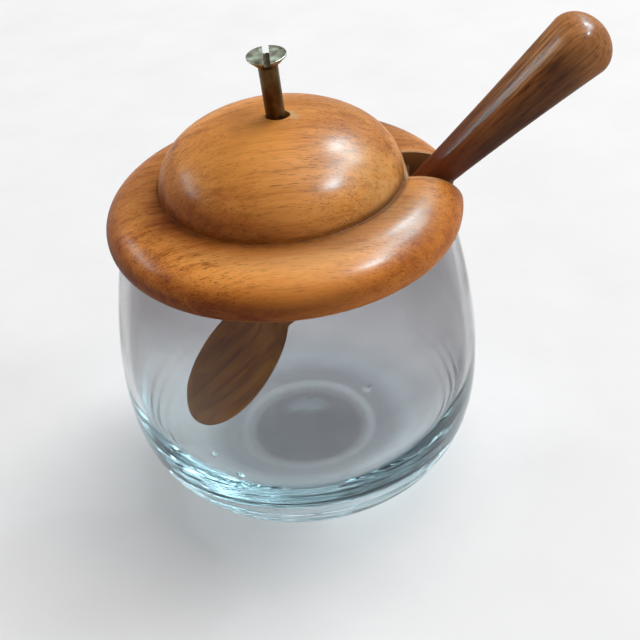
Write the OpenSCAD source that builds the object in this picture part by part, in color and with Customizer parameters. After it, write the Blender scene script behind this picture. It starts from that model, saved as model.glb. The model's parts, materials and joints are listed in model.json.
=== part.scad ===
// Honey pot: a round-bellied glass jar, a turned wooden lid with a domed middle and a notched brim,
// a wooden spoon that leans out through the notch, and a brass wood screw that stands in the lid.
// Millimetres, +Z up. The origin is the middle of the jar's underside, and +X points to the notch.

/* [Jar] */
// Height of the glass jar
jar_height = 80.5; // [78:0.5:84]
// Outside radius of the belly, the widest ring
belly_radius = 50.6; // [49:0.1:53]
// Height of the belly's widest ring
belly_height = 36; // [34:1:40]
// Outside radius of the mouth
mouth_radius = 43.1; // [42:0.1:45]
// Radius of the flat underside
foot_radius = 25; // [20:1:30]
// Thickness of the wall
wall = 2.5; // [2.2:0.1:3]
// Thickness of the base at its middle
base_thickness = 6; // [5.5:0.5:7]
// Fullness of the curve from foot to belly, where 2 is an ellipse
belly_fullness = 2.6; // [2.4:0.1:3]
// Fullness of the inside's curve from floor to belly, where 2 is an ellipse
inside_fullness = 2.2; // [2.1:0.05:2.4]
// How late the shoulder curves in, where 1 is a straight cone
shoulder_bend = 1.64; // [1.4:0.02:2]

/* [Lid] */
// How far the lip hangs down outside the mouth
lip_drop = 3.3; // [2.5:0.1:5]
// Thickness of the lip at its widest
lip_width = 2.6; // [2:0.1:3]
// Gap between the lip and the glass
lip_clearance = 0.45; // [0.3:0.05:0.7]
// How far the plug reaches down inside the mouth
plug_drop = 6; // [4:0.5:8]
// Gap between the plug and the glass
plug_clearance = 0.5; // [0.4:0.05:0.8]
// Thickness of the plug's wall
plug_wall = 5; // [4:0.5:6]
// Depth of the hollow in the lid, above the mouth
hollow_rise = 5.5; // [4.5:0.5:6]
// Rise of the rounded brim above its widest line
brim_rise = 9; // [8:0.5:10]
// Radius of the dome
dome_radius = 31.8; // [30:0.2:32]
// Height of the dome above the brim
dome_height = 17.4; // [15:0.2:20]
// Fullness of the dome, where 2 is an ellipse
dome_fullness = 2.1; // [2:0.05:2.5]
// Radius of the cove around the dome
cove_radius = 1.4; // [1:0.1:1.6]
// Width of the spoon notch
notch_width = 13; // [12.6:0.1:15]

/* [Spoon] */
// Length of the spoon
spoon_length = 162.5; // [155:0.5:172]
// Length of the bowl
bowl_length = 44.8; // [40:0.2:46]
// Width of the bowl
bowl_width = 35.4; // [30:0.2:36]
// Side of the squared neck
neck_side = 6.8; // [6:0.1:7]
// Side of the squared handle at its thick end
handle_side = 15.4; // [12:0.1:16]
// Length over which the handle thickens
flare_length = 60; // [55:1:64]
// Length of the handle's rounded end
handle_round = 7; // [5:0.5:9]
// Turn of the spoon about its own length, in degrees
spoon_roll = 16.6; // [10:0.2:20]

/* [Screw] */
// Length of the screw
screw_length = 35; // [33:0.5:36]
// How far the screw stands out of the lid
screw_stand = 16.6; // [15:0.2:18]
// Diameter of the screw's shank
shank_d = 5; // [4.5:0.1:5.2]
// Diameter of the countersunk head
head_d = 10; // [9:0.1:11]
// Lean of the screw from upright, in degrees
screw_lean = 3.6; // [0:0.2:4]
// Diameter of the hole that the screw stands in
hole_d = 6.4; // [6.2:0.1:7]

/* [Hidden] */
$fn = 96;
curve_steps = 14;
cut_margin = 5;

// Jar
rim_ease = 0.7;
floor_curve = 28;
floor_radius = belly_radius - wall - floor_curve;

// Lid, from the jar's mouth outwards and upwards
lip_edge = 0.6;
lip_bottom = jar_height - lip_drop;
lip_inside = jar_radius(lip_bottom) + lip_clearance;
lip_foot = lip_inside + lip_edge;
lid_radius = lip_inside + lip_width;
brim_over_mouth = 0.5;
brim_middle = jar_height + brim_over_mouth;
brim_top = brim_middle + brim_rise;
plug_radius = mouth_radius - wall - plug_clearance;
hollow_radius = plug_radius - plug_wall;
cove_over_brim = 0.4;
cove_begin = 190;
cove_end = 340;
cove_middle = dome_radius + cove_radius;
cove_height = brim_top + cove_over_brim;
dome_top = cove_height + dome_height;
notch_start = dome_radius + cove_radius / 2;

// Spoon, laid from the jar's floor up through the notch
bowl_face = 1;
bowl_edge = 2;
bowl_belly = 4;
bowl_rim = 2.2;
dish_depth = 2.2;
dish_reach = bowl_width / 2 - bowl_rim;
back_bulge = bowl_belly - bowl_edge;
neck_root = 2.4;
neck_sunk = 16;
neck_swell = 6;
neck_root_start = bowl_length - neck_sunk;
neck_root_end = bowl_length + neck_swell;
handle_taper = 1.33;
corner_reach = 0.583;
handle_round_start = spoon_length - handle_round;
flare_start = handle_round_start - flare_length;
tip_place = [-36.6, 6];
tip_lift = 6.2;
pass_inset = 6.7;
pass_rise = 2;
spoon_tip = [tip_place.x, tip_place.y, base_thickness + tip_lift];
spoon_pass = [mouth_radius - pass_inset, 0, jar_height + pass_rise];
spoon_run = spoon_pass - spoon_tip;
spoon_slope = atan2(spoon_run.z, norm([spoon_run.x, spoon_run.y]));
spoon_twist = atan2(spoon_run.y, spoon_run.x);

// Screw, measured along its own axis from the mouth of its hole
lean_heading = 229;
screw_foot = [0.3, 0, dome_top];
screw_depth = screw_length - screw_stand;
head_rim = 0.4;
head_slope = (head_d - shank_d) / 2;
slot_width = 1.6;
slot_depth = 1.5;
core_share = 0.72;
ridge_foot = 0.4;
ridge_crest = 0.08;
thread_core = core_share * shank_d / 2;
thread_pitch = 2.2;
thread_fade = 0.6;
thread_tip = 1.2;
thread_start = 1;
thread_turns = floor((screw_depth - thread_start - 2 * thread_tip) / thread_pitch);
hole_shift = 0.3;

// Outside radius of the jar above the belly
function jar_radius(z) =
    let (rise = (z - belly_height) / (jar_height - belly_height))
    belly_radius - (belly_radius - mouth_radius) * pow(rise, shoulder_bend);

// Points of a quarter oval from its foot to its side: foot is the level end, side the upright one
function quarter_oval(foot, side, fullness) = [
    for (step = [0:curve_steps])
        let (turn = 90 * step / curve_steps)
        [
            foot.x + (side.x - foot.x) * pow(sin(turn), 2 / fullness),
            side.y - (side.y - foot.y) * pow(cos(turn), 2 / fullness)
        ]
];

// Points of the dome from its foot up to the axis
function dome_curve() = [
    for (step = [0:curve_steps])
        let (turn = 90 * step / curve_steps)
        [
            dome_radius * pow(cos(turn), 2 / dome_fullness),
            cove_height + dome_height * pow(sin(turn), 2 / dome_fullness)
        ]
];

// Points along an elliptical arc
function arc(centre, reach, from, to, steps) = [
    for (step = [0:steps])
        let (turn = from + (to - from) * step / steps)
        [centre.x + reach.x * cos(turn), centre.y + reach.y * sin(turn)]
];

// The list back to front
function reversed(points) = [for (index = [len(points) - 1:-1:0]) points[index]];

// Side of the spoon's squared section at a distance along it
function spoon_side(x) =
    x < neck_root_end
        ? neck_root + (neck_side - neck_root) * (x - neck_root_start) / (neck_root_end - neck_root_start)
        : neck_side + (handle_side - neck_side) * pow(max(0, x - flare_start) / flare_length, handle_taper);

// Distances along the spoon at which its section is set
spoon_stations = concat(
    [neck_root_start, neck_root_end],
    [for (step = [0:curve_steps]) flare_start + flare_length * step / curve_steps]
);

module jar_section() {
    shoulder = [
        for (step = [1:curve_steps])
            let (z = belly_height + (jar_height - rim_ease - belly_height) * step / curve_steps)
            [jar_radius(z), z]
    ];
    outside = concat(quarter_oval([foot_radius, 0], [belly_radius, belly_height], belly_fullness), shoulder);
    inside = concat(
        quarter_oval([floor_radius, base_thickness], [belly_radius - wall, belly_height], inside_fullness),
        [for (point = shoulder) point - [wall, 0]]
    );
    rim_outside = shoulder[curve_steps - 1].x;
    rim = concat(
        arc([rim_outside - rim_ease, jar_height - rim_ease], [rim_ease, rim_ease], 15, 90, 5),
        arc([rim_outside - wall + rim_ease, jar_height - rim_ease], [rim_ease, rim_ease], 90, 165, 5)
    );
    polygon(concat([[0, 0]], outside, rim, reversed(inside), [[0, base_thickness]]));
}

module lid_section() {
    dome = reversed(dome_curve());
    cove = arc([cove_middle, cove_height], [cove_radius, cove_radius], cove_begin, cove_end, 8);
    brim_reach = [lid_radius - cove_middle, brim_rise];
    brim_begin = acos(cove_radius * cos(cove_end) / brim_reach.x) - 0.5;
    brim = arc([cove_middle, brim_middle], brim_reach, brim_begin, 0, curve_steps);
    lip = arc([lip_foot, brim_middle], [lid_radius - lip_foot, brim_middle - lip_bottom], -12, -90, 7);
    underside = [
        [lip_inside, lip_bottom],
        [lip_inside, jar_height],
        [plug_radius, jar_height],
        [plug_radius, jar_height - plug_drop],
        [hollow_radius, jar_height - plug_drop],
        [hollow_radius, jar_height + hollow_rise],
        [0, jar_height + hollow_rise]
    ];
    polygon(concat(dome, cove, brim, lip, underside));
}

// Stands its children on the screw's leaning axis, with the hole's mouth at their origin
module on_screw_axis() {
    translate(screw_foot)
        rotate([0, 0, lean_heading])
            rotate([0, screw_lean, 0])
                rotate([0, 0, -lean_heading])
                    children();
}

// Lays its children along the spoon, with the tip at their origin and the handle along their +X
module on_spoon_axis() {
    translate(spoon_tip)
        rotate([spoon_roll, -spoon_slope, spoon_twist])
            children();
}

module glass_jar() {
    color([0.75, 0.86, 0.86, 0.4])
        rotate_extrude()
            jar_section();
}

module lid() {
    color([0.62, 0.33, 0.14])
        difference() {
            rotate_extrude()
                lid_section();
            translate([notch_start, -notch_width / 2, jar_height - plug_drop - cut_margin])
                cube([lid_radius, notch_width, plug_drop + brim_rise + 2 * cut_margin]);
            on_screw_axis()
                translate([hole_shift, 0, -screw_depth])
                    cylinder(d = hole_d, h = screw_depth + cut_margin);
        }
}

// The bowl: an oval plate with a rounded back and a round dish in its face
module spoon_bowl() {
    half = [bowl_length / 2, bowl_width / 2];
    back_radius = (half.y * half.y + back_bulge * back_bulge) / (2 * back_bulge);
    dish_radius = (dish_reach * dish_reach + dish_depth * dish_depth) / (2 * dish_depth);
    difference() {
        intersection() {
            translate([0, 0, -bowl_belly])
                linear_extrude(bowl_belly + bowl_face)
                    polygon(arc([half.x, 0], half, 0, 360 - 360 / 48, 47));
            translate([half.x, 0, back_radius - bowl_belly])
                sphere(back_radius);
        }
        translate([half.x, 0, bowl_face - dish_depth + dish_radius])
            sphere(dish_radius);
    }
}

// The outline that the squared handle has from above and from its side
module handle_outline() {
    edge = [for (x = spoon_stations) [x, spoon_side(x) / 2]];
    end = [spoon_length, handle_side / 2];
    polygon(concat(edge, [end], reversed([for (point = concat(edge, [end])) [point.x, -point.y]])));
}

// The handle: a square bar that thickens to its end, with its corners turned round
module spoon_handle() {
    end_reach = corner_reach * handle_side;
    round_edge = concat(
        [[0, neck_root_start]],
        [for (x = spoon_stations) [corner_reach * spoon_side(x), x]],
        arc([0, handle_round_start], [end_reach, handle_round], 10, 90, 8)
    );
    intersection() {
        rotate([0, 90, 0])
            rotate_extrude()
                polygon(round_edge);
        translate([0, 0, -handle_side])
            linear_extrude(2 * handle_side)
                handle_outline();
        rotate([90, 0, 0])
            translate([0, 0, -handle_side])
                linear_extrude(2 * handle_side)
                    handle_outline();
    }
}

module spoon() {
    color([0.42, 0.2, 0.1])
        on_spoon_axis() {
            spoon_bowl();
            spoon_handle();
        }
}

// Outline of the screw: flat tip, ridges for the thread, plain shank and countersunk head
module screw_section() {
    shank = shank_d / 2;
    thread = [
        for (turn = [thread_turns - 1:-1:0])
            let (ridge = -thread_start - thread_pitch * (turn + 0.5))
            each [
                [thread_core, ridge - thread_pitch * ridge_foot],
                [shank, ridge - thread_pitch * ridge_crest],
                [shank, ridge + thread_pitch * ridge_crest],
                [thread_core, ridge + thread_pitch * ridge_foot]
            ]
    ];
    polygon(concat(
        [[0, -screw_depth], [thread_tip, -screw_depth]],
        thread,
        [
            [shank, -thread_start + thread_fade],
            [shank, screw_stand - head_rim - head_slope],
            [head_d / 2, screw_stand - head_rim],
            [head_d / 2, screw_stand],
            [0, screw_stand]
        ]
    ));
}

module lid_screw() {
    color([0.6, 0.52, 0.36])
        on_screw_axis()
            difference() {
                rotate_extrude()
                    screw_section();
                translate([-slot_width / 2, -head_d, screw_stand - slot_depth])
                    cube([slot_width, 2 * head_d, slot_depth + cut_margin]);
            }
}

glass_jar();
lid();
spoon();
lid_screw();
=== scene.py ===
"""The looks of a honey pot: a clear glass jar, a turned wooden lid, a carved wooden spoon and a brass screw.

Lengths are in metres in the part's own frame: +Z up, the origin under the middle of the jar, +X to the notch.
"""

import json
import math

import bmesh
import bpy
from mathutils import Matrix, Quaternion, Vector


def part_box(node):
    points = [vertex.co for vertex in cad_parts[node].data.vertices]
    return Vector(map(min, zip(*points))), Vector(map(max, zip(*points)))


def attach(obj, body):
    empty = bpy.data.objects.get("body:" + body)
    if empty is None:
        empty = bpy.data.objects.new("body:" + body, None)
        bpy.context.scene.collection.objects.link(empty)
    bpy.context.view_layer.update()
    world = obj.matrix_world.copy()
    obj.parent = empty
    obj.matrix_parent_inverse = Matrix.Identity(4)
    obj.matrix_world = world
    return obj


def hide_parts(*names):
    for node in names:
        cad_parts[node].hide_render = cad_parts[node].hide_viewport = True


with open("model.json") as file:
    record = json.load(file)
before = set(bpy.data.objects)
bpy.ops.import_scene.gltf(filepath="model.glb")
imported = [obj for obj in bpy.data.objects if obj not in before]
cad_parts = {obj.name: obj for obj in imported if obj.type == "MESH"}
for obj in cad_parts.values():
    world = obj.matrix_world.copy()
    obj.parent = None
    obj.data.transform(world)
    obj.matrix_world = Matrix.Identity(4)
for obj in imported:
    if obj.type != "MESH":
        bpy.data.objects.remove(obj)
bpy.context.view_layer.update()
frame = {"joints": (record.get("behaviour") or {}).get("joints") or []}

MM = 0.001
WELD = 0.0001 * MM
TOUCH = 0.001 * MM
LEAST_ANGLE = 1e-5
GLASS_BOUNCES = 24

# Fineness of the meshes: steps along an outline, and columns or points round it
CURVE_STEPS = 24
DOME_STEPS = 40
BRIM_STEPS = 40
PUNT_STEPS = 16
HEEL_STEPS = 10
FLOOR_STEPS = 10
BOWL_STEPS = 30
HANDLE_STEPS = 50
END_STEPS = 16
JAR_COLUMNS = 192
LID_COLUMNS = 240
DRILL_COLUMNS = 48
SCREW_COLUMNS = 72
SPOON_POINTS = 64

# Sizes that the frame gives
_, jar_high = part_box("glass_jar")
lid_low, lid_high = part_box("lid")
joints = {joint["name"]: joint for joint in frame["joints"]}
belly_radius = jar_high.y
jar_height = jar_high.z
lid_radius = lid_high.y
spoon_axis = Vector(joints["spoon_draw"]["axis"]).normalized()
screw_axis = Vector(joints["screw_turn"]["axis"]).normalized()
screw_foot = Vector(joints["screw_turn"]["pos_m"])

# Jar
belly_height = 36 * MM
mouth_radius = 43.1 * MM
foot_radius = 25 * MM
jar_wall = 2.5 * MM
base_thickness = 6 * MM
floor_curve = 28 * MM
belly_fullness = 2.6
inside_fullness = 2.2
shoulder_bend = 1.64
rim_round = 1.1 * MM
punt_radius = 17.8 * MM
punt_depth = 2.2 * MM
ring_radius = 20.2 * MM
foot_rise = 0.06 * MM
heel_width = 4 * MM
heel_lift = 0.4 * MM
heel_fade = 6 * MM
floor_swell = 0.9 * MM
ripple_depth = 0.15 * MM
ripple_pitch = 4.5 * MM

# Lid
lip_bottom = jar_height - 3.3 * MM
lip_inside = lid_radius - 2.6 * MM
lip_edge = 0.6 * MM
brim_middle = jar_height + 0.5 * MM
brim_rise = 9 * MM
brim_top = brim_middle + brim_rise
dome_radius = 31.8 * MM
dome_fullness = 2.1
crease_radius = 0.15 * MM
brim_crest = dome_radius + 1.4 * MM
cove_height = brim_top + 0.4 * MM
dome_top = screw_foot.z
plug_radius = 40.1 * MM
plug_bottom = lid_low.z
hollow_radius = 35.1 * MM
hollow_top = jar_height + 5.5 * MM
notch_half = 6.5 * MM
notch_start = dome_radius + 0.7 * MM
notch_ease = 0.45 * MM
edge_ease = 0.5 * MM
hole_radius = 3.15 * MM
hole_shift = 0.55 * MM
hole_squash = 0.86
hole_spare = 0.1 * MM
drill_rise = 6 * MM
wear_and_highlight_fade = 6 * MM

# Spoon, measured along its own length from the tip of its bowl
spoon_tip = Vector((-36.6 * MM, 6 * MM, 12.2 * MM))
spoon_roll = math.radians(16.6)
spoon_length = 162.5 * MM
bowl_half_length = 22.4 * MM
bowl_half_width = 17.7 * MM
bowl_face = 1 * MM
bowl_edge = 2 * MM
dish_share = 0.88
dish_depth = 2.2 * MM
back_bulge = 2 * MM
neck_begin = 1.1 * bowl_half_length
neck_end = 2.35 * bowl_half_length
straight_start = 2.6 * bowl_half_length
bar_full = 1.5 * bowl_half_length
neck_blend = 5
neck_side = 6.8 * MM
handle_side = 15.4 * MM
handle_round = 7 * MM
round_start = spoon_length - handle_round
flare_length = 60 * MM
flare_start = round_start - flare_length
handle_taper = 1.33
handle_sag = 0.6 * MM
plate_squareness = 2.6
bar_squareness = 3.1

# Screw, measured along its own axis from the mouth of its hole
screw_stand = 16.6 * MM
screw_depth = 18.4 * MM
screw_tip = 0.9 * MM
tip_length = 1.5 * MM
shank_radius = 2.5 * MM
core_radius = 1.8 * MM
head_radius = 5 * MM
head_rim = 0.4 * MM
head_ease = 0.18 * MM
slot_half = 0.8 * MM
slot_depth = 1.5 * MM
thread_pitch = 2.2 * MM
thread_start = 1 * MM
thread_fade = 1.5 * MM
thread_step = 0.14 * MM
thread_rings = 112

# Camera, as the photograph was taken
camera_place = Vector((0, -251.6 * MM, 230.8 * MM))
camera_aim = Vector((6.6 * MM, 0, 42.7 * MM))
camera_roll = math.radians(5.365)
focal_length = 61.86

# Woods: dark, middle, light and pore colours
teak = ((0.3, 0.076, 0.009), (0.61, 0.22, 0.036), (0.8, 0.335, 0.075), (0.075, 0.017, 0.002))
dark_teak = ((0.038, 0.0075, 0.002), (0.096, 0.021, 0.0045), (0.165, 0.044, 0.01), (0.014, 0.0035, 0.0015))

# Marks, painted light and painted shade on the lid: the middle and the reach of each, in millimetres, and
# their colours
dulled_spot = (34, -27, 88), 18
# Painted light: lighter patches where the light falls on the brim's front top and the dome's top left
painted_light_brim = (4, -42, 88), 26
painted_light_dome = (-6, -10, 106), 24
# Rubbed wear on the dome's right that is partly a painted sheen
rubbed_and_sheen_spot = (25, -18, 95), 14
chipped_spot = (4.2, -0.6, 107.5), 3.2
smudged_spot = (-9, 3, 107), 9
# Painted shade in the crease between the dome and the brim, and on the brim beside it
painted_shade_crease = (-20, -24, 90), 46
painted_shade_brim = (-14, -30, 90), 52
# Painted shade on the brim's left and back and the dome's lower front left, and a darker patch at the dome's
# top right
painted_shade_left = (-44, 4, 84), 32
darker_top_spot = (20, 12, 103), 26
painted_shade_back = (30, 30, 88), 26
painted_shade_dome = (-21, -25, 94), 28
dull_brown = (0.38, 0.16, 0.06)
painted_light_orange = (0.92, 0.43, 0.12)
painted_light_warm_orange = (0.84, 0.34, 0.07)
rubbed_and_sheen_straw = (0.68, 0.37, 0.12)
chipped_pale = (0.6, 0.48, 0.28)
shade_and_darkening_brown = (0.2, 0.055, 0.01)
smudge_brown = (0.16, 0.05, 0.015)
painted_shade_brown = (0.075, 0.013, 0.001)
# Painted shade: a redder tone under the brim and in the crease
painted_shade_red = (1.0, 0.8, 0.55)
# The notch's sawn walls, with painted shade that deepens down the notch
sawn_shaded_dark = (0.1, 0.035, 0.01)
sawn_pale = (0.38, 0.18, 0.065)
# Bare wood on the notch's top edges, worn and partly a painted highlight
bare_wood_and_highlight = (0.62, 0.44, 0.25)

# Marks, painted shade and painted light on the spoon, and their colours
knot_spot = (149, -6.6, 3.8), 6.5
# Painted shade on the handle's lower side
underside_shade_brown = (0.03, 0.007, 0.003)
gold_streak = (0.58, 0.26, 0.08)
gold_end = (0.52, 0.21, 0.068)
knot_brown = (0.035, 0.011, 0.005)
# Painted light on the handle's neck near the lid's notch
painted_light_neck = (0.28, 0.07, 0.021)
honey_tones = ((0.35, (0.19, 0.055, 0.001)), (0.5, (0.42, 0.145, 0.004)), (0.65, (0.6, 0.25, 0.014)))
honey_tip = (0.16, 0.055, 0.004)

# Glass: its painted shade from clear to dense, where painted light clears it, its painted glow and dents, in
# millimetres, and the tint of its depth
# Painted shade: the glass's grey, standing in for shaded surroundings seen through it
painted_shade_tones = ((0.0, (0.93, 0.955, 0.965)), (0.8, (0.47, 0.445, 0.455)), (1.0, (0.38, 0.365, 0.38)))
# Painted light: where the glass is clearer, for light that the jar gathers low at its front left
painted_caustic_spot = (-32, -36, 30), 42
# Painted glow on the foot ring, strongest towards the back right
painted_glow_spot = (8, 11, 0), 36
dent_places = ((15.3, -46.2, 55.0), (-18.9, -46.8, 30.6), (-24.9, -44.0, 36.4))
dent_reach = 1.3
glass_depth = (0.5, 0.84, 0.92)
glass_shadow = (0.97, 0.98, 0.985)
glass_gleam = (0.3, 0.32, 0.35)

# Brass, from its dark to its light mottle
old_brass = ((0.3, (0.06, 0.032, 0.012)), (0.55, (0.11, 0.066, 0.025)), (0.75, (0.19, 0.13, 0.055)))
handled_brass = ((0.3, (0.3, 0.245, 0.165)), (0.7, (0.52, 0.43, 0.3)))
brass_specks = (0.05, 0.032, 0.018)

# Lamps: azimuth from +X towards +Y and elevation in degrees, distance and size in metres, and power in watts
lighting_lamps = (
    ("soft_box", 45, 72, 3.5, (2.0, 2.0), 54),
    ("window_right", 35, 50, 3.0, (1.5, 0.7), 24),
    ("window_front", -10, 35, 3.0, (1.0, 0.8), 13),
    ("back_card", 100, 17, 3.0, (3.0, 1.0), 12),
    ("left_card", 205, 14, 3.0, (2.0, 0.7), 13),
)
gleam_lamps = (
    ("gleam_right", 42, 45, 3.0, (1.4, 0.6), 152),
    ("gleam_high", 8, 57, 3.0, (1.4, 0.5), 126),
    ("gleam_left", 158, 27, 3.0, (1.5, 0.3), 45),
    ("bulb_right", 53, 48, 2.9, (0.12, 0.12), 40),
    ("bulb_front", -16, 55, 2.9, (0.4, 0.35), 140),
)
gleam_colour = (0.52, 0.85, 1.0)
lamp_aim = Vector((0, 0, 90 * MM))
horizon_light = (0.46, 0.47, 0.485)
sky_light = (0.29, 0.29, 0.295)

# Light that the jar gathers on the floor: where its spots lie, and the azimuth and elevation it comes from
gathered_turns = (168, 194, 220, 246, 272)
gathered_radius = 28 * MM
gathered_colour = (0.8, 0.94, 1.0)
gathered_power = 18
gathered_from = 45, 39
gathered_distance = 1.0
gathered_cone = math.radians(1.7)
gathered_lamp_radius = 60 * MM


def leaning_frame(foot, axis):
    """A frame with its origin at a foot and its +Z along an axis."""
    return Matrix.Translation(foot) @ Vector((0, 0, 1)).rotation_difference(axis).to_matrix().to_4x4()


def sloping_frame(tip, axis, roll):
    """A frame with its origin at a tip and its +X along a sloping axis, rolled about it."""
    turn = Matrix.Rotation(math.atan2(axis.y, axis.x), 4, "Z")
    rise = Matrix.Rotation(-math.atan2(axis.z, math.hypot(axis.x, axis.y)), 4, "Y")
    return Matrix.Translation(tip) @ turn @ rise @ Matrix.Rotation(roll, 4, "X")


screw_place = leaning_frame(screw_foot, screw_axis)
spoon_place = sloping_frame(spoon_tip, spoon_axis, spoon_roll)


def smoothstep(low, high, value):
    """0 below low, 1 above high, and a smooth rise between them."""
    share = min(1, max(0, (value - low) / (high - low)))
    return share * share * (3 - 2 * share)


def signed_power(value, power):
    return math.copysign(abs(value) ** power, value)


def arc(centre, reach, begin, end, steps):
    """Points (r, z) along an elliptical arc, with angles in degrees."""
    turns = [math.radians(begin + (end - begin) * step / steps) for step in range(steps + 1)]
    return [(centre[0] + reach[0] * math.cos(turn), centre[1] + reach[1] * math.sin(turn)) for turn in turns]


def quarter_oval(foot, side, fullness, steps=CURVE_STEPS):
    """Points (r, z) of a full quarter oval, from its level foot to its upright side."""
    turns = [math.pi / 2 * step / steps for step in range(steps + 1)]
    return [
        (
            foot[0] + (side[0] - foot[0]) * math.sin(turn) ** (2 / fullness),
            side[1] - (side[1] - foot[1]) * abs(math.cos(turn)) ** (2 / fullness),
        )
        for turn in turns
    ]


def eased(points, ease, steps=4):
    """The outline with each corner cut round: a quadratic curve from ease before it to ease after it."""
    rounded = []
    for before, corner, after in zip(points, points[1:], points[2:]):
        here = Vector(corner)
        ends = []
        for other in (Vector(before), Vector(after)):
            ends.append(here + (other - here).normalized() * min(ease, (other - here).length / 2))
        for step in range(steps + 1):
            share = step / steps
            rounded.append(tuple(ends[0].lerp(here, share).lerp(here.lerp(ends[1], share), share)))
    return [points[0]] + rounded + [points[-1]]


def spread(start, end, steps):
    """Points between two places, without the ends."""
    return [tuple(Vector(start).lerp(Vector(end), step / steps)) for step in range(1, steps)]


def add_object(name, mesh_data, sharp_degrees=None, place=None):
    """A smooth-shaded object from a bmesh that is put in place, with edges past an angle kept hard."""
    mesh = bpy.data.meshes.new(name)
    if place:
        mesh_data.transform(place)
    mesh_data.to_mesh(mesh)
    mesh_data.free()
    mesh.polygons.foreach_set("use_smooth", [True] * len(mesh.polygons))
    if sharp_degrees is not None:
        mesh.set_sharp_from_angle(angle=math.radians(sharp_degrees))
    piece = bpy.data.objects.new(name, mesh)
    bpy.context.scene.collection.objects.link(piece)
    return piece


def lathe(profile, columns, gap=None, shape=None):
    """A bmesh turned from a profile of (r, z), and its rings. Points on the axis become poles.

    gap(r, z) is half the angle left open at +X, and shape(turn, r, z) changes a point's radius."""
    turned = bmesh.new()
    rings = []
    for radius, height in profile:
        if radius < WELD:
            rings.append([turned.verts.new((0, 0, height))] * (columns + 1))
            continue
        opening = gap(radius, height) if gap else 0
        ring = []
        for column in range(columns + 1):
            turn = opening + (2 * math.pi - 2 * opening) * column / columns
            reach = shape(turn, radius, height) if shape else radius
            ring.append(turned.verts.new((reach * math.cos(turn), reach * math.sin(turn), height)))
        rings.append(ring)
    for lower, upper in zip(rings, rings[1:]):
        for column in range(columns):
            corners = [lower[column], lower[column + 1], upper[column + 1], upper[column]]
            face = [vert for index, vert in enumerate(corners) if vert not in corners[:index]]
            if len(face) > 2:
                turned.faces.new(face)
    return turned, rings


def weld(mesh_data):
    bmesh.ops.remove_doubles(mesh_data, verts=mesh_data.verts, dist=WELD)
    bmesh.ops.recalc_face_normals(mesh_data, faces=mesh_data.faces)


def cut(piece, cutter):
    """Cuts one object out of another for good, and removes the cutter."""
    modifier = piece.modifiers.new("cut", "BOOLEAN")
    modifier.operation = "DIFFERENCE"
    modifier.solver = "EXACT"
    modifier.object = cutter
    bpy.context.view_layer.update()
    seen = piece.evaluated_get(bpy.context.evaluated_depsgraph_get())
    result = bpy.data.meshes.new_from_object(seen)
    piece.modifiers.clear()
    piece.data = result
    bpy.data.objects.remove(cutter)


def jar_radius(height):
    """The jar's outer radius above its belly."""
    rise = (height - belly_height) / (jar_height - belly_height)
    return belly_radius - (belly_radius - mouth_radius) * rise ** shoulder_bend


def ripple(height):
    """How far the pressed glass draws in at a height: faint level rings low on the outside."""
    fade = smoothstep(1 * MM, 5 * MM, height) * (1 - smoothstep(12 * MM, 24 * MM, height))
    return ripple_depth * fade * (1 - math.cos(2 * math.pi * height / ripple_pitch)) / 2


def underside_profile():
    """The jar's outline (r, z) under its base: a hollow, the foot ring it stands on and the lifted heel."""
    outline = [(0, punt_depth)]
    for step in range(1, PUNT_STEPS + 1):
        hollow = math.cos(math.pi / 2 * step / PUNT_STEPS) ** 2
        outline.append((punt_radius * step / PUNT_STEPS, foot_rise + (punt_depth - foot_rise) * hollow))
    outline.append(((punt_radius + ring_radius) / 2, 0))
    for step in range(HEEL_STEPS + 1):
        lift = (heel_lift - foot_rise) * smoothstep(0, HEEL_STEPS, step)
        outline.append((ring_radius + heel_width * step / HEEL_STEPS, foot_rise + lift))
    return outline


def build_jar():
    """The glass, with a thick base that is hollow underneath and swells a little inside."""
    inside_belly = (belly_radius - jar_wall, belly_height)
    floor_edge = (belly_radius - jar_wall - floor_curve, base_thickness)
    shoulder_top = jar_height - rim_round
    shoulder = shoulder_top - belly_height
    heights = [belly_height + shoulder * step / CURVE_STEPS for step in range(1, CURVE_STEPS + 1)]
    rim_middle = jar_radius(shoulder_top) - jar_wall / 2
    profile = underside_profile()
    belly = quarter_oval((foot_radius, 0), (belly_radius, belly_height), belly_fullness, 4 * CURVE_STEPS)
    for radius, height in belly:
        lift = heel_lift * (1 - smoothstep(0, heel_fade, height))
        profile.append((radius - ripple(height), height + lift))
    profile += [(jar_radius(height), height) for height in heights]
    profile += arc((rim_middle, shoulder_top), (jar_wall / 2, rim_round), 12, 168, 14)
    profile += [(jar_radius(height) - jar_wall, height) for height in reversed(heights)]
    profile += list(reversed(quarter_oval(floor_edge, inside_belly, inside_fullness)))
    for step in range(FLOOR_STEPS - 1, 0, -1):
        share = step / FLOOR_STEPS
        swell = floor_swell * math.sin(math.pi * share ** 2)
        profile.append((floor_edge[0] * share, base_thickness + swell))
    profile.append((0, base_thickness))
    glass, _ = lathe(profile, JAR_COLUMNS)
    weld(glass)
    return add_object("jar", glass)


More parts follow.
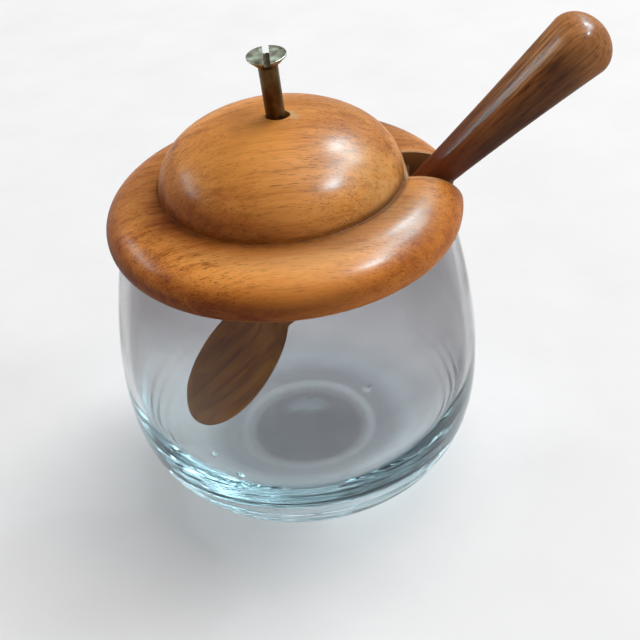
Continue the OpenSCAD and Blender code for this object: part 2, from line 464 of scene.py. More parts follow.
def lid_profile():
    """The lid's outline (r, z) from the middle of its dome, over the brim, to the middle of its hollow."""
    dome_height = dome_top - cove_height
    dome = []
    for step in range(1, DOME_STEPS):
        turn = math.pi / 2 * step / DOME_STEPS
        radius = dome_radius * math.sin(turn) ** (2 / dome_fullness)
        dome.append((radius, cove_height + dome_height * math.cos(turn) ** (2 / dome_fullness)))
    crease_middle = dome_radius + crease_radius
    brim_reach = lid_radius - brim_crest
    brim_begin = math.degrees(math.acos((crease_middle - brim_crest) / brim_reach)) - 0.5
    crease_height = brim_middle + brim_rise * math.sin(math.radians(brim_begin)) + crease_radius
    crease = [(dome_radius, cove_height)]
    crease += arc((crease_middle, crease_height), (crease_radius, crease_radius), 180, 265, 4)
    brim = arc((brim_crest, brim_middle), (brim_reach, brim_rise), brim_begin, 0, BRIM_STEPS)
    lip_foot = (lip_inside + lip_edge, brim_middle)
    lip = arc(lip_foot, (lid_radius - lip_foot[0], brim_middle - lip_bottom), -8, -90, 12)
    corners = [
        lip[-1],
        (lip_inside, lip_bottom),
        (lip_inside, jar_height),
        (plug_radius, jar_height),
        (plug_radius, plug_bottom),
        (hollow_radius, plug_bottom),
        (hollow_radius, hollow_top),
        (notch_start, hollow_top),
    ]
    underside = eased(corners, edge_ease)[1:]
    ceiling = spread((notch_start, hollow_top), (0, hollow_top), 8)
    return [(0, dome_top)] + dome + crease + brim + lip + underside + ceiling + [(0, hollow_top)]


def notch_opening(radius, height):
    """Half the angle that the notch leaves open in a ring of the lid."""
    if radius <= notch_start + TOUCH or height > cove_height:
        return 0
    return min(math.acos(notch_start / radius), math.asin(notch_half / radius))


def with_corner_rings(profile):
    """The profile with a ring wherever it passes the notch's inner corner or its inner end."""
    crossings = (notch_start, math.hypot(notch_start, notch_half))
    full = [profile[0]]
    for before, after in zip(profile, profile[1:]):
        low, high = sorted((before[0], after[0]))
        for radius in sorted(crossings, reverse=before[0] > after[0]):
            if low + TOUCH < radius < high - TOUCH and min(before[1], after[1]) < cove_height:
                share = (radius - before[0]) / (after[0] - before[0])
                full.append(tuple(Vector(before).lerp(Vector(after), share)))
        full.append(after)
    return full


def wall_notch(turned, rings, profile):
    """Closes the gap that the turning left open with two side walls and an end wall."""
    corner = math.hypot(notch_start, notch_half) - TOUCH
    gaps = [index for index, ring in enumerate(profile) if notch_opening(*ring) > LEAST_ANGLE]
    outer = [index for index in gaps if profile[index][0] >= corner]
    ahead = [index for index in gaps if index < outer[0]]
    behind = [index for index in gaps if index > outer[-1]]
    for column in (0, -1):
        turned.faces.new([rings[index][column] for index in outer])
    top = [rings[index][0] for index in reversed(ahead)] + [rings[gaps[0] - 1][0]]
    top += [rings[index][-1] for index in ahead]
    under = [rings[index][-1] for index in behind] + [rings[gaps[-1] + 1][0]]
    under += [rings[index][0] for index in reversed(behind)]
    first, last = rings[outer[0]], rings[outer[-1]]
    turned.faces.new([first[0]] + top + [first[-1], last[-1]] + under + [last[0]])


def build_lid():
    """The turned lid, with a notch that is walled and eased, and the screw's hole cut in."""
    profile = with_corner_rings(lid_profile())
    turned, rings = lathe(profile, LID_COLUMNS, notch_opening)
    wall_notch(turned, rings, profile)
    weld(turned)
    # Only the notch's walls have many corners
    walls = [face for face in turned.faces if len(face.verts) > 8]
    edges = list(dict.fromkeys(edge for face in walls for edge in face.edges))
    bmesh.ops.bevel(
        turned, geom=edges, offset=notch_ease, segments=3, profile=0.5, affect="EDGES", clamp_overlap=True
    )
    lid = add_object("wooden_lid", turned, 50)
    hole_bottom = -screw_depth - hole_spare
    drill_outline = [(0, hole_bottom), (hole_radius, hole_bottom), (hole_radius, drill_rise), (0, drill_rise)]
    drill, _ = lathe(drill_outline, DRILL_COLUMNS)
    weld(drill)
    bmesh.ops.scale(drill, vec=(1, hole_squash, 1), verts=drill.verts)
    cut(lid, add_object("drill", drill, place=screw_place @ Matrix.Translation((hole_shift, 0, 0))))
    lid.data.set_sharp_from_angle(angle=math.radians(50))
    mark_notch_wear_and_highlight(lid)
    return lid


def mark_notch_wear_and_highlight(lid):
    """Writes how worn each point is, with its painted highlight, which is on the notch's top edges, and
    whether it is on a notch wall.
    """
    wear_and_highlight = lid.data.attributes.new("edge_wear_and_highlight", "FLOAT", "POINT")
    sawn = lid.data.attributes.new("sawn_wall", "FLOAT", "POINT")
    for vert, worn_and_highlight, wall in zip(lid.data.vertices, wear_and_highlight.data, sawn.data):
        place = vert.co
        beyond = max(abs(place.y) - notch_half, notch_start - place.x)
        on_top = smoothstep(hollow_top - wear_and_highlight_fade, hollow_top, place.z)
        on_edge = smoothstep(0.05 * MM, 0.25 * MM, beyond) * (1 - smoothstep(0.4 * MM, 1.2 * MM, beyond))
        worn_and_highlight.value = on_top * on_edge
        wall.value = 1 - smoothstep(0.02 * MM, 0.2 * MM, beyond)


def flare_share(along):
    """How far the handle's flare has come at a distance from the tip: 0 before it, 1 at its end."""
    return max(0, along - flare_start) / flare_length


def handle_half(along):
    """Half the side of the handle's squared section."""
    half = (neck_side + (handle_side - neck_side) * min(1, flare_share(along)) ** handle_taper) / 2
    if along > round_start:
        half *= math.sqrt(max(0, 1 - ((along - round_start) / handle_round) ** 2))
    return half


def spoon_ring(along):
    """Points of the spoon's section at a distance from its tip: a dished plate, then a squared bar."""
    past_middle = along - bowl_half_length
    across_bowl = max(0, 1 - (past_middle / bowl_half_length) ** 2)
    plate_half = bowl_half_width * math.sqrt(across_bowl)
    plate_thick = (bowl_face + bowl_edge) / 2 * min(1, across_bowl * 6) ** 0.5
    bar_half = handle_half(along)
    bar_share = smoothstep(bowl_half_length, bar_full, along)
    neck = smoothstep(neck_begin, neck_end, along)
    half_width = (plate_half ** neck_blend + (bar_half * bar_share) ** neck_blend) ** (1 / neck_blend)
    half_thick = plate_thick + (bar_half - plate_thick) * neck
    middle = (bowl_face - bowl_edge) / 2 * (1 - neck)
    middle -= handle_sag * min(1.2, flare_share(along)) ** 2
    power = 2 / (plate_squareness + (bar_squareness - plate_squareness) * neck)
    ring = []
    for point in range(SPOON_POINTS):
        turn = 2 * math.pi * point / SPOON_POINTS
        across = half_width * signed_power(math.cos(turn), power)
        height = half_thick * signed_power(math.sin(turn), power)
        from_middle = (past_middle / bowl_half_length) ** 2 + (across / bowl_half_width) ** 2
        inward = max(0, 1 - from_middle / dish_share ** 2)
        facing = math.sin(turn)
        if facing > 0:
            height -= dish_depth * smoothstep(0, 0.7, inward) * facing ** 0.3 * (1 - neck)
        else:
            height -= back_bulge * smoothstep(0, 1, inward) * (-facing) ** 0.3 * (1 - neck)
        ring.append((along, across, middle + height))
    return ring


def build_spoon():
    """The carved spoon, skinned over sections from the tip of the bowl to the rounded end of the handle."""
    stations = []
    for step in range(1, BOWL_STEPS):
        stations.append(bowl_half_length * (1 - math.cos(math.pi / 2 * step / BOWL_STEPS)))
    for begin, end in ((bowl_half_length, straight_start), (straight_start, round_start)):
        stations += [begin + (end - begin) * step / HANDLE_STEPS for step in range(HANDLE_STEPS)]
    for step in range(END_STEPS):
        stations.append(round_start + handle_round * math.sin(math.pi / 2 * step / END_STEPS))
    carved = bmesh.new()
    rings = [[carved.verts.new(place) for place in spoon_ring(along)] for along in stations]
    for lower, upper in zip(rings, rings[1:]):
        for point in range(SPOON_POINTS):
            after = (point + 1) % SPOON_POINTS
            carved.faces.new([lower[point], lower[after], upper[after], upper[point]])
    for ring, along in ((rings[0], 0), (rings[-1], spoon_length)):
        middle = sum((vert.co for vert in ring), Vector()) / SPOON_POINTS
        pole = carved.verts.new((along, middle.y, middle.z))
        for point in range(SPOON_POINTS):
            carved.faces.new([ring[point], ring[(point + 1) % SPOON_POINTS], pole])
    bmesh.ops.recalc_face_normals(carved, faces=carved.faces)
    return add_object("wooden_spoon", carved, place=spoon_place)


def thread_reach(turn, radius, height):
    """The screw's radius where its helical thread runs, fading out at the plain shank."""
    begin = -thread_start
    if height > begin or height < -screw_depth + 0.5 * MM or radius < core_radius:
        return radius
    wave = (height / thread_pitch + turn / (2 * math.pi)) % 1
    ridge = max(0, 1 - abs(wave - 0.5) / 0.32)
    core = core_radius + (shank_radius - core_radius) * smoothstep(begin - thread_fade, begin, height)
    return core + (shank_radius - core) * smoothstep(0, 0.8, ridge)


def build_screw():
    """The countersunk wood screw with its helical thread and driver slot."""
    head_foot = screw_stand - head_rim - (head_radius - shank_radius)
    thread_low = -screw_depth + tip_length
    thread = [(shank_radius, thread_low + step * thread_step) for step in range(thread_rings)]
    corners = [
        thread[-1],
        (shank_radius, head_foot),
        (head_radius, screw_stand - head_rim),
        (head_radius, screw_stand),
        (head_radius * 0.4, screw_stand),
    ]
    head = eased(corners, head_ease)
    profile = [(0, -screw_depth), (screw_tip, -screw_depth)] + thread + head + [(0, screw_stand)]
    turned, _ = lathe(profile, SCREW_COLUMNS, shape=thread_reach)
    weld(turned)
    screw = add_object("brass_screw", turned, 40, screw_place)
    slot = bmesh.new()
    bmesh.ops.create_cube(slot, size=1)
    bmesh.ops.scale(slot, vec=(2 * slot_half, 4 * head_radius, 2 * slot_depth), verts=slot.verts)
    bmesh.ops.translate(slot, vec=(0, 0, screw_stand), verts=slot.verts)
    cut(screw, add_object("slot_cutter", slot, place=screw_place))
    screw.data.set_sharp_from_angle(angle=math.radians(35))
    return screw


class Shader:
    """A material's node tree with short calls to add and link nodes. Its lengths are in millimetres."""

    def __init__(self, name, place=Matrix.Identity(4)):
        self.place = place
        self.material = bpy.data.materials.new(name)
        self.material.use_nodes = True
        self.tree = self.material.node_tree
        self.surface = self.tree.nodes["Principled BSDF"]
        self.output = self.tree.nodes["Material Output"]

    def add(self, kind, settings=None, **inputs):
        """A node of that kind. Inputs are values, or sockets to link, by name with _ for a space."""
        node = self.tree.nodes.new(kind)
        for name, value in (settings or {}).items():
            setattr(node, name, value)
        self.feed(node, **inputs)
        return node

    def feed(self, node, **inputs):
        """Sets or links a node's inputs, by name, or by number after a _."""
        for name, value in inputs.items():
            socket = node.inputs[int(name[1:])] if name[1:].isdigit() else node.inputs[name.replace("_", " ")]
            if isinstance(value, bpy.types.NodeSocket):
                self.tree.links.new(value, socket)
            else:
                socket.default_value = value

    def measured(self, lengths=(1, 1, 1), middle=(0, 0, 0)):
        """Places in the piece's own frame, from a middle point, in units of the given lengths."""
        middle = self.place @ (Vector(middle) * MM)
        node = self.add("ShaderNodeMapping", {"vector_type": "TEXTURE"}, Location=middle)
        self.feed(node, Vector=self.add("ShaderNodeTexCoord").outputs["Object"])
        self.feed(node, Rotation=self.place.to_euler(), Scale=[length * MM for length in lengths])
        return node.outputs["Vector"]

    def noise(self, lengths, detail=4.0, roughness=0.55, distortion=0.0):
        """Noise from 0 to 1 whose grains have the given lengths."""
        node = self.add("ShaderNodeTexNoise", Vector=self.measured(lengths), Scale=1.0, Detail=detail)
        self.feed(node, Roughness=roughness, Distortion=distortion)
        return node.outputs["Fac"]

    def near(self, middle, reach):
        """1 at a point in the piece's own frame, fading to 0 at a distance."""
        away = self.add("ShaderNodeVectorMath", {"operation": "LENGTH"}, _0=self.measured(middle=middle))
        return self.span(away.outputs["Value"], reach, 0.0)

    def from_axis(self):
        """Distance from the upright axis of the piece's own frame."""
        flat = self.add("ShaderNodeVectorMath", {"operation": "MULTIPLY"}, _0=self.measured(), _1=(1, 1, 0))
        away = self.add("ShaderNodeVectorMath", {"operation": "LENGTH"}, _0=flat.outputs["Vector"])
        return away.outputs["Value"]

    def along(self, axis):
        """The place along an axis of the piece's own frame."""
        return self.add("ShaderNodeSeparateXYZ", Vector=self.measured()).outputs[axis]

    def attribute(self, name):
        return self.add("ShaderNodeAttribute", {"attribute_name": name}).outputs["Fac"]

    def ramp(self, value, stops):
        """A colour ramp through (position, colour) stops."""
        node = self.add("ShaderNodeValToRGB", Fac=value)
        band = node.color_ramp
        while len(band.elements) < len(stops):
            band.elements.new(0.5)
        for element, (position, colour) in zip(band.elements, stops):
            element.position = position
            element.color = (*colour, 1)
        return node.outputs["Color"]

    def span(self, value, low, high, to_low=0.0, to_high=1.0):
        """The value's place between low and high, as a number between two others."""
        node = self.add("ShaderNodeMapRange", Value=value)
        self.feed(node, From_Min=low, From_Max=high, To_Min=to_low, To_Max=to_high)
        return node.outputs["Result"]

    def math(self, operation, first, second=0.0):
        return self.add("ShaderNodeMath", {"operation": operation}, _0=first, _1=second).outputs["Value"]

    def times(self, first, second):
        return self.math("MULTIPLY", first, second)

    def plus(self, first, second):
        return self.math("ADD", first, second)

    def larger(self, first, second):
        return self.math("MAXIMUM", first, second)

    def mix(self, share, first, second, blend="MIX"):
        """Two colours mixed by a share."""
        node = self.add("ShaderNodeMix", {"data_type": "RGBA", "blend_type": blend}, Factor=share)
        self.feed(node, _6=first, _7=second)
        return node.outputs[2]

    def tint(self, colour, share, tone, blend="MIX"):
        """The colour, turned towards a plain tone by a share."""
        return self.mix(share, colour, (*tone, 1), blend)

    def bump(self, height, strength, distance):
        node = self.add("ShaderNodeBump", Height=height, Strength=strength, Distance=distance * MM)
        return node.outputs["Normal"]


def wood(
    name, palette, finish, place=Matrix.Identity(4), heart=(20, -55), gloss=0.42, coat=0.15, polish=0.25
):
    """Oiled hardwood with its grain along its frame's X: figure, streaks, dark lines, hairs and open pores.

    heart is the tree's middle (y, z), and finish adds marks, painted light and painted shade to the piece and
    says where it is dull.
    gloss is the wood's roughness, and coat and polish are the weight and the roughness of its oil."""
    shader = Shader(name, place)
    dark, middle, light, pore = palette
    figure = shader.noise((110, 11, 11), detail=3, roughness=0.5)
    streaks = shader.noise((45, 2.4, 2.4), detail=5, roughness=0.6, distortion=0.3)
    fibres = shader.noise((22, 0.5, 0.5), detail=3, roughness=0.6)
    lines = shader.noise((70, 1.5, 1.5), detail=2, roughness=0.5)
    hairs = shader.noise((80, 0.55, 0.55), detail=2, roughness=0.5)
    pores = shader.noise((4.0, 0.26, 0.26), detail=2, roughness=0.4)
    ring_kind = {"wave_type": "RINGS", "rings_direction": "X", "wave_profile": "SIN"}
    rings = shader.add("ShaderNodeTexWave", ring_kind, Vector=shader.measured((600, 1, 1), (0, *heart)))
    shader.feed(rings, Scale=0.05, Distortion=6.0, Detail=3.0, Detail_Scale=0.8)
    tone = shader.times(figure, 0.5)
    for value, share in ((streaks, 0.35), (fibres, 0.3), (rings.outputs["Fac"], 0.08)):
        tone = shader.plus(tone, shader.times(value, share))
    colour = shader.ramp(tone, [(0.44, dark), (0.58, middle), (0.72, light)])
    line_share = shader.times(shader.span(lines, 0.58, 0.68, 0.0, 0.85), shader.span(figure, 0.62, 0.38))
    colour = shader.tint(colour, line_share, dark)
    hair_share = shader.span(hairs, 0.58, 0.66, 0.0, 0.78)
    hair_share = shader.times(hair_share, shader.span(streaks, 0.6, 0.4, 0.2, 1.0))
    colour = shader.tint(colour, hair_share, dark)
    pore_share = shader.span(pores, 0.61, 0.69)
    colour = shader.tint(colour, shader.times(pore_share, 0.8), pore)
    colour, dulled = finish(shader, colour)
    rough = shader.span(fibres, 0.3, 0.7, gloss - 0.05, gloss + 0.06)
    rough = shader.plus(rough, shader.span(figure, 0.3, 0.7, -0.03, 0.04))
    rough = shader.plus(rough, shader.times(pore_share, 0.2))
    rough = shader.plus(rough, shader.times(dulled, 0.3))
    relief = shader.math("SUBTRACT", shader.times(fibres, 0.35), pore_share)
    shader.feed(shader.surface, Base_Color=colour, Roughness=rough, Specular_IOR_Level=0.05)
    shader.feed(shader.surface, Coat_Weight=shader.span(dulled, 0.0, 1.0, coat, 0.0), Coat_Roughness=polish)
    shader.feed(shader.surface, Normal=shader.bump(relief, 0.35, 0.08))
    return shader.material


def patched(shader, colour, spot, mottle, low, high, least, most, tone):
    """The colour with a patch of another tone, whose share runs from least to most as the mottle goes up."""
    share = shader.times(shader.near(*spot), shader.span(mottle, low, high, least, most))
    return shader.tint(colour, share, tone)


def lid_painted_shade(shader, height, mottle):
    """Shares of the painted shade, in and beside the crease and under the brim, and of the crease alone."""
    top = brim_top / MM
    # Painted shade in the crease
    crease = shader.span(height, top + 11, top + 0.4, 0.0, 0.88)
    crease = shader.times(crease, shader.span(height, top - 0.4, top + 0.2))
    crease = shader.times(crease, shader.span(shader.near(*painted_shade_crease), 0.22, 0.65))
    # Painted shade on the brim beside the crease and in the groove
    away = shader.math("ABSOLUTE", shader.math("SUBTRACT", shader.from_axis(), dome_radius / MM + 0.4))
    beside_shade = shader.times(shader.span(away, 9.0, 1.0, 0.0, 0.8), shader.span(height, top + 0.3, top))
    beside_shade = shader.times(beside_shade, shader.span(shader.near(*painted_shade_brim), 0.0, 0.5))
    groove_shade = shader.times(shader.span(away, 1.6, 0.3, 0.0, 0.8), shader.span(height, top + 3, top + 1))
    # Painted shade under the brim, weaker towards +X where the light falls
    low = shader.span(height, top - 2.8, top - 8.6)
    under = shader.times(low, shader.span(shader.along("X"), -10, 34, 1.0, 0.25))
    shade_share = shader.larger(shader.plus(under, crease), shader.larger(groove_shade, beside_shade))
    return shader.times(shade_share, shader.span(mottle, 0.2, 0.6, 0.75, 1.0)), crease


def lid_finish(shader, colour):
    """Painted light and shade, patches, rubbed wear with painted sheen, and bare notch edges with painted
    highlight.
    """
    mottle = shader.noise((3, 1.6, 1.6), detail=4, roughness=0.65)
    height = shader.along("Z")
    top = brim_top / MM
    colour = patched(shader, colour, dulled_spot, mottle, 0.25, 0.6, 0.24, 0.6, dull_brown)
    # Painted light on the brim's front top and on the dome's top left
    colour = patched(shader, colour, painted_light_brim, mottle, 0.2, 0.6, 0.4, 0.8, painted_light_orange)
    colour = patched(shader, colour, painted_light_dome, mottle, 0.2, 0.6, 0.375, 0.75, painted_light_warm_orange)
    # Rubbed wear on the dome's right, partly a painted sheen
    rubbed_and_sheen = shader.times(shader.near(*rubbed_and_sheen_spot), shader.span(mottle, 0.34, 0.56, 0.1, 1.0))
    colour = shader.tint(colour, shader.math("MINIMUM", rubbed_and_sheen, 0.75), rubbed_and_sheen_straw)
    colour = patched(shader, colour, chipped_spot, mottle, 0.38, 0.55, 0.0, 0.9, chipped_pale)
    # Painted shade where the brim's left and back face away from the light and on the dome's lower front
    # left, and a darker patch at the dome's top right
    shade_and_darkening = shader.times(shader.near(*painted_shade_dome), shader.span(height, top + 0.2, top + 1.2, 0.0, 0.48))
    for spot, share in ((painted_shade_left, 0.56), (darker_top_spot, 0.4), (painted_shade_back, 0.64)):
        shade_and_darkening = shader.larger(shade_and_darkening, shader.times(shader.near(*spot), share))
    colour = shader.tint(colour, shade_and_darkening, shade_and_darkening_brown)
    colour = patched(shader, colour, smudged_spot, mottle, 0.2, 0.6, 0.2, 0.5, smudge_brown)
    shade_share, crease = lid_painted_shade(shader, height, mottle)
    # Painted shade: redder under the brim and in the crease
    red_shade = shader.larger(shader.span(height, top - 1, top - 5), shader.times(crease, 1.5))
    colour = shader.tint(colour, shader.math("MINIMUM", red_shade, 1.0), painted_shade_red, "MULTIPLY")
    # Painted shade: browner in the crease, beside it and under the brim
    colour = shader.tint(colour, shader.times(shade_share, 0.93), painted_shade_brown)
    # The sawn walls' own tone, with painted shade that deepens down the notch
    sawn_tone_with_shade = shader.ramp(shader.span(height, top - 14, top), [(0.0, sawn_shaded_dark), (1.0, sawn_pale)])
    colour = shader.mix(shader.attribute("sawn_wall"), colour, sawn_tone_with_shade)
    # Bare wood on the notch's top edges, worn and partly a painted highlight
    wear_and_highlight = shader.attribute("edge_wear_and_highlight")
    colour = shader.tint(colour, shader.times(wear_and_highlight, 0.8), bare_wood_and_highlight)
    return colour, shader.plus(wear_and_highlight, shader.times(shade_share, 0.4))


def spoon_finish(shader, colour):
    """Painted shade below, gold streaks, a knot and a gold end, painted light on the neck and a honey-soaked
    bowl.
    """
    along = shader.along("X")
    waver = shader.noise((34, 5, 5), detail=3)
    streak = shader.noise((26, 0.9, 0.9), detail=4, roughness=0.6)
    # Painted shade: darker towards the handle's lower side, which faces away from the light
    side = shader.times(shader.along("Y"), -0.55)
    side = shader.math("SUBTRACT", side, shader.times(shader.along("Z"), 0.85))
    side = shader.plus(side, shader.span(waver, 0.3, 0.7, -2.0, 2.0))
    colour = shader.tint(colour, shader.span(side, -3.0, 2.0, 0.0, 0.85), underside_shade_brown)
    gold = shader.times(shader.span(along, 112, 150, 0.0, 0.85), shader.span(streak, 0.32, 0.62))
    gold = shader.times(gold, shader.span(side, 1.0, -4.0, 0.2, 1.0))
    colour = shader.tint(colour, gold, gold_streak)
    end = shader.times(shader.span(along, 148, 160, 0.0, 0.75), shader.span(streak, 0.3, 0.6, 0.4, 1.0))
    colour = shader.tint(colour, end, gold_end)
    colour = patched(shader, colour, knot_spot, waver, 0.4, 0.6, 0.0, 0.8, knot_brown)
    # Painted light: a lighter neck near the lid's notch, against the shade that falls there
    colour = shader.tint(colour, shader.span(along, 122, 106, 0.0, 0.5), painted_light_neck)
    soaked = shader.span(along, 62, 48)
    honeyed = shader.plus(shader.times(waver, 0.6), shader.times(streak, 0.4))
    colour = shader.mix(shader.times(soaked, 0.85), colour, shader.ramp(honeyed, honey_tones))
    colour = shader.tint(colour, shader.span(along, 22, 4, 0.0, 0.6), honey_tip)
    return colour, soaked


def glass_painted_shade(shader, around, smear):
    """Painted shade in the glass's colour: grey up the wall and under the foot, with painted light and a
    painted glow.
    """
    height = shader.along("Z")
    # Painted light: the grey thins low at the front left, where light gathers
    caustic_clearing = shader.span(shader.near(*painted_caustic_spot), 0.0, 0.8, 1.0, 0.0)
    # Painted shade: grey up the wall, for the shaded surroundings seen through the glass
    level = shader.times(shader.span(height, 8, 44, 0.0, 0.8), caustic_clearing)
    low = shader.span(height, 3.5, 2.5)
    # Painted shade under the foot: in the hollow's middle and outside the foot ring
    foot = shader.larger(shader.span(around, 18.5, 15.0), shader.span(around, 34, 26, 0.0, 0.55))
    level = shader.larger(level, shader.times(foot, low))
    # Painted glow: the grey thins on the foot ring, most towards the back right
    ring_middle = (punt_radius + ring_radius) / 2 / MM + 0.2
    glow_rim = shader.math("ABSOLUTE", shader.math("SUBTRACT", around, ring_middle))
    glow_rim = shader.times(shader.span(glow_rim, 1.9, 0.7), shader.span(shader.near(*painted_glow_spot), 0.15, 0.6, 0.2, 1.0))
    level = shader.times(level, shader.span(shader.times(glow_rim, low), 0.0, 1.0, 1.0, 0.0))
    level = shader.plus(level, shader.span(smear, 0.3, 0.7, -0.05, 0.05))
    return shader.ramp(level, painted_shade_tones)


def clear_glass(name):
    """Clear pressed glass: a slow waver, an uneven foot, small dents, painted grey shade, smears and an aqua
    depth.

    Shadow rays pass straight through it, so that the light comes into the jar."""
    shader = Shader(name)
    around = shader.from_axis()
    smear = shader.noise((22, 22, 9), detail=3)
    relief = shader.noise((26, 26, 34), detail=1)
    uneven = shader.times(shader.noise((6, 6, 6), detail=2), shader.span(around, 20, 16, 0.0, 0.8))
    relief = shader.plus(relief, uneven)
    for place in dent_places:
        relief = shader.plus(relief, shader.times(shader.near(place, dent_reach), 6.0))
    painted_shade_colour = glass_painted_shade(shader, around, smear)
    shader.feed(shader.surface, Base_Color=painted_shade_colour, Specular_Tint=(*glass_gleam, 1))
    shader.feed(shader.surface, IOR=1.5, Transmission_Weight=1.0)
    shader.feed(shader.surface, Roughness=shader.span(smear, 0.55, 0.8, 0.0, 0.03))
    shader.feed(shader.surface, Normal=shader.bump(relief, 0.25, 0.6))
    through = shader.add("ShaderNodeBsdfTransparent", Color=(*glass_shadow, 1))
    shadow = shader.add("ShaderNodeLightPath").outputs["Is Shadow Ray"]
    both = shader.add("ShaderNodeMixShader", Fac=shadow)
    shader.feed(both, _1=shader.surface.outputs["BSDF"], _2=through.outputs["BSDF"])
    shader.feed(shader.output, Surface=both.outputs["Shader"])
    depth = shader.add("ShaderNodeVolumeAbsorption", Color=(*glass_depth, 1), Density=12.0)
    shader.feed(shader.output, Volume=depth.outputs["Volume"])
    return shader.material


def tarnished_brass(name):
    """Old brass: greyish where it was handled, brown and mottled down the shank, with turning lines."""
    shader = Shader(name, screw_place)
    mottle = shader.noise((2.6, 2.6, 5), detail=4, roughness=0.5)
    lines = shader.noise((30, 30, 0.12), detail=2)
    specks = shader.noise((0.35, 0.35, 0.35), detail=2)
    head = screw_stand / MM
    handled = shader.span(shader.along("Z"), head - 1.6, head - 0.2)
    handled = shader.times(handled, shader.span(mottle, 0.25, 0.6, 0.55, 1.0))
    colour = shader.mix(handled, shader.ramp(mottle, old_brass), shader.ramp(mottle, handled_brass))
    colour = shader.tint(colour, shader.span(specks, 0.62, 0.72, 0.0, 0.6), brass_specks)
    rough = shader.plus(shader.span(mottle, 0.3, 0.7, 0.28, 0.5), shader.span(lines, 0.3, 0.7, -0.06, 0.06))
    relief = shader.plus(shader.times(lines, 0.5), shader.times(mottle, 0.5))
    shader.feed(shader.surface, Base_Color=colour, Roughness=rough, Metallic=1.0)
    shader.feed(shader.surface, Normal=shader.bump(relief, 0.25, 0.06))
    return shader.material


def pale_floor(name):
    """A plain matt studio floor with a hardly visible mottle."""
    shader = Shader(name)
    mottle = shader.noise((40, 40, 40), detail=5)
    colour = shader.ramp(mottle, [(0.3, (0.86, 0.86, 0.86)), (0.7, (0.9, 0.9, 0.9))])
    shader.feed(shader.surface, Base_Color=colour, Roughness=shader.span(mottle, 0.3, 0.7, 0.7, 0.85))
    shader.feed(shader.surface, Specular_IOR_Level=0.0)
    return shader.material


def dress(piece, material, body, node):
    """Gives a piece its material and the CAD body and node that it stands for."""
    piece.data.materials.clear()
    piece.data.materials.append(material)
    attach(piece, body)
    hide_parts(node)
    return piece


def collected(name, pieces):
    """A collection of pieces that lamps can be linked to."""
    collection = bpy.data.collections.new(name)
    for piece in pieces:
        collection.objects.link(piece)
    return collection


def add_floor():
    floor = bmesh.new()
    bmesh.ops.create_grid(floor, x_segments=40, y_segments=40, size=3)
    piece = add_object("floor", floor)
    piece.data.materials.append(pale_floor("floor_matt"))
    return piece


def stand_lamp(lamp, aim, azimuth, elevation, distance):
    """The lamp's object, which faces a place from a distance."""
    turn, rise = math.radians(azimuth), math.radians(elevation)
    away = Vector((math.cos(rise) * math.cos(turn), math.cos(rise) * math.sin(turn), math.sin(rise)))
    stand = bpy.data.objects.new(lamp.name, lamp)
    stand.location = aim + away * distance
    stand.rotation_euler = (-away).to_track_quat("-Z", "Y").to_euler()
    bpy.context.scene.collection.objects.link(stand)
    return stand


def add_area_lamp(name, azimuth, elevation, distance, size, power):
    """A rectangular lamp that faces the pot."""
    lamp = bpy.data.lights.new(name, "AREA")
    lamp.shape = "RECTANGLE"
    lamp.size, lamp.size_y = size
    lamp.energy = power
    return stand_lamp(lamp, lamp_aim, azimuth, elevation, distance)


def add_lights(polished):
    """Lamps that light everything but aren't reflected, and cool ones that gleam on the polished pieces."""
    for lamp in lighting_lamps:
        add_area_lamp(*lamp).visible_glossy = False
    for lamp in gleam_lamps:
        stand = add_area_lamp(*lamp)
        stand.data.color = gleam_colour
        stand.visible_diffuse = False
        stand.visible_transmission = False
        stand.light_linking.receiver_collection = polished


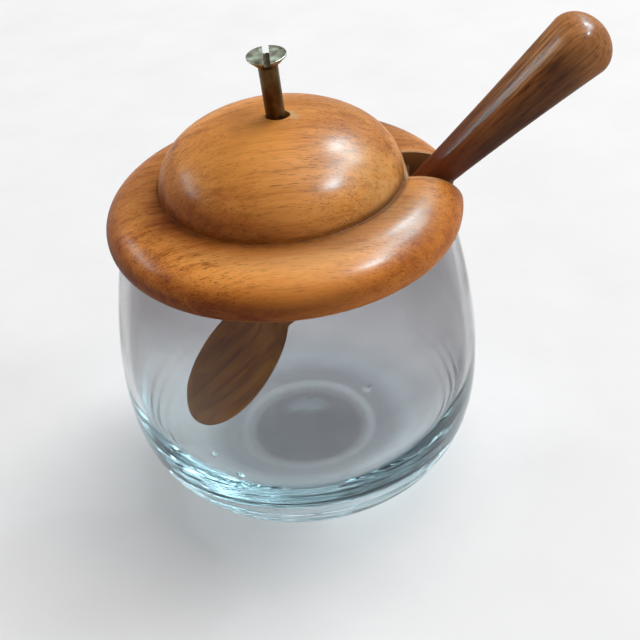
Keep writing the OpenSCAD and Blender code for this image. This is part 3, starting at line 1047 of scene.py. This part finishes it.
def add_gathered_light(lit_floor):
    """Soft cool spots on the floor at the jar's front left, where its glass gathers light from behind."""
    for number, azimuth in enumerate(gathered_turns):
        turn = math.radians(azimuth)
        lamp = bpy.data.lights.new(f"gathered_{number}", "SPOT")
        lamp.energy = gathered_power
        lamp.color = gathered_colour
        lamp.spot_size = gathered_cone
        lamp.spot_blend = 1.0
        lamp.shadow_soft_size = gathered_lamp_radius
        aim = gathered_radius * Vector((math.cos(turn), math.sin(turn), 0))
        stand = stand_lamp(lamp, aim, *gathered_from, gathered_distance)
        stand.visible_glossy = False
        stand.light_linking.receiver_collection = lit_floor


def add_sky():
    """A world that is brighter near the horizon than overhead."""
    world = bpy.data.worlds.new("studio")
    world.use_nodes = True
    tree = world.node_tree
    place = tree.nodes.new("ShaderNodeTexCoord")
    split = tree.nodes.new("ShaderNodeSeparateXYZ")
    band = tree.nodes.new("ShaderNodeValToRGB")
    low, high = band.color_ramp.elements
    low.position = 0.02
    low.color = (*horizon_light, 1)
    high.position = 0.5
    high.color = (*sky_light, 1)
    tree.links.new(place.outputs["Generated"], split.inputs["Vector"])
    tree.links.new(split.outputs["Z"], band.inputs["Fac"])
    tree.links.new(band.outputs["Color"], tree.nodes["Background"].inputs["Color"])
    bpy.context.scene.world = world


def add_camera():
    lens = bpy.data.cameras.new("camera")
    lens.sensor_width = 36
    lens.lens = focal_length
    lens.clip_start = 10 * MM
    camera = bpy.data.objects.new("camera", lens)
    camera.location = camera_place
    level = (camera_aim - camera_place).to_track_quat("-Z", "Y")
    camera.rotation_euler = (level @ Quaternion((0, 0, 1), -camera_roll)).to_euler()
    bpy.context.scene.collection.objects.link(camera)
    bpy.context.scene.camera = camera


dress(build_jar(), clear_glass("glass_clear"), "jar", "glass_jar")
lid = dress(build_lid(), wood("wood_lid", teak, lid_finish), "lid", "lid")
spoon_wood = wood(
    "wood_spoon", dark_teak, spoon_finish, spoon_place, (4, -12), gloss=0.36, coat=0.1, polish=0.14
)
spoon = dress(build_spoon(), spoon_wood, "spoon", "spoon")
screw = dress(build_screw(), tarnished_brass("brass_tarnished"), "screw", "lid_screw")

floor = add_floor()
add_sky()
add_lights(collected("polished", (lid, spoon, screw)))
add_gathered_light(collected("lit_floor", (floor,)))
add_camera()
bpy.context.scene.view_settings.view_transform = "Standard"
bpy.context.scene.cycles.max_bounces = GLASS_BOUNCES
bpy.context.scene.cycles.transmission_bounces = GLASS_BOUNCES
bpy.context.scene.cycles.glossy_bounces = GLASS_BOUNCES
